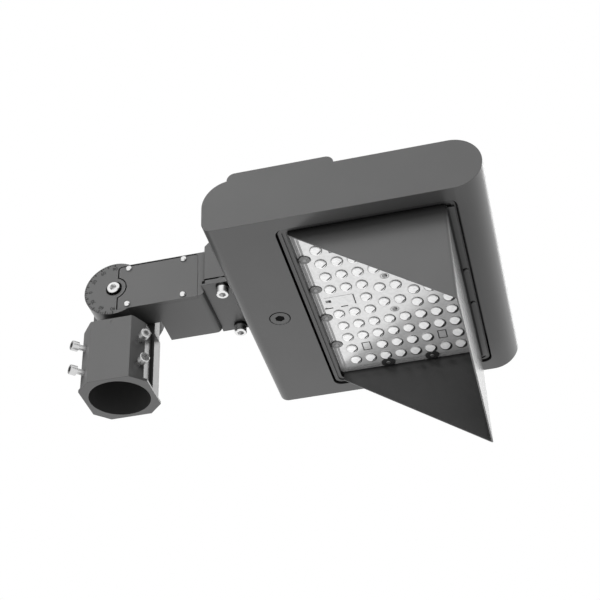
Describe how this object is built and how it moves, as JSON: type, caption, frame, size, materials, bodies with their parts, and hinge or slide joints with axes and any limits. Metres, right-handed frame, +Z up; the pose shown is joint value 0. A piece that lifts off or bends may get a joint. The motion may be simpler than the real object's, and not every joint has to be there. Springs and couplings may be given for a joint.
{
  "type": "led flood light",
  "caption": "Flat LED flood light head with a lens window and a glare shield, tilting on a short arm above a slipfitter socket with clamp screws.",
  "frame": {"origin": "centre of the slipfitter's round mouth", "axes": "+Z up along the pole tenon, +X from the pole to the lamp head, +Y across the head"},
  "size_m": [0.4425, 0.308, 0.1881],
  "materials": {
    "housing_paint": "satin grey powder coat on cast aluminium",
    "frame_paint": "satin dark grey powder coat on cast aluminium",
    "visor_paint": "satin dark grey powder coat on sheet aluminium",
    "bright_steel": "bright stainless",
    "dark_steel": "black oxide",
    "seal_rubber": "matte",
    "driver_case": "satin",
    "black_plastic": "matte",
    "white_plastic": "semi gloss",
    "board_white": "white solder mask",
    "chip_yellow": "phosphor",
    "lens_clear": "clear moulded lens"
  },
  "bodies": {
    "slipfitter": {"slipfitter_body": "housing_paint", "pivot_bolt": "bright_steel", "pivot_washer": "bright_steel", "pivot_nut": "bright_steel"},
    "clamp_1": {"clamp_screw_1": "bright_steel"},
    "clamp_2": {"clamp_screw_2": "bright_steel"},
    "clamp_3": {"clamp_screw_3": "bright_steel"},
    "clamp_4": {"clamp_screw_4": "bright_steel"},
    "lamp": {"arm_casting": "housing_paint", "arm_cover": "housing_paint", "arm_cover_gasket": "seal_rubber", "arm_cover_screws": "bright_steel", "neck_bolts": "bright_steel", "neck_washers": "dark_steel", "neck_spring_washers": "dark_steel", "head_housing": "housing_paint", "housing_plug": "housing_paint", "wire_grommet": "seal_rubber", "driver_lid": "housing_paint", "driver_lid_gasket": "seal_rubber", "driver_lid_screws": "bright_steel", "led_driver": "driver_case", "led_driver_screws": "bright_steel", "surge_protector": "black_plastic", "terminal_block": "white_plastic", "led_board": "board_white", "led_chips": "chip_yellow", "board_connector": "white_plastic", "lens_gasket": "seal_rubber", "lens_plate": "lens_clear", "lens_frame": "frame_paint", "lens_screws": "bright_steel", "visor": "visor_paint", "visor_screws": "dark_steel"}
  },
  "joints": [
    {"name": "head_tilt", "type": "hinge", "parent": "slipfitter", "child": "lamp", "pos_m": [0, 0, 0.1144], "axis": [0, -1, 0], "range_deg": [0, 180]},
    {"name": "clamp_1_travel", "type": "slide", "parent": "slipfitter", "child": "clamp_1", "axis": [-0.7071, 0.7071, 0], "range_m": [0, 0.0077]},
    {"name": "clamp_2_travel", "type": "slide", "parent": "slipfitter", "child": "clamp_2", "axis": [-0.7071, 0.7071, 0], "range_m": [0, 0.0077]},
    {"name": "clamp_3_travel", "type": "slide", "parent": "slipfitter", "child": "clamp_3", "axis": [0.7071, 0.7071, 0], "range_m": [0, 0.0077]},
    {"name": "clamp_4_travel", "type": "slide", "parent": "slipfitter", "child": "clamp_4", "axis": [0.7071, 0.7071, 0], "range_m": [0, 0.0077]}
  ]
}
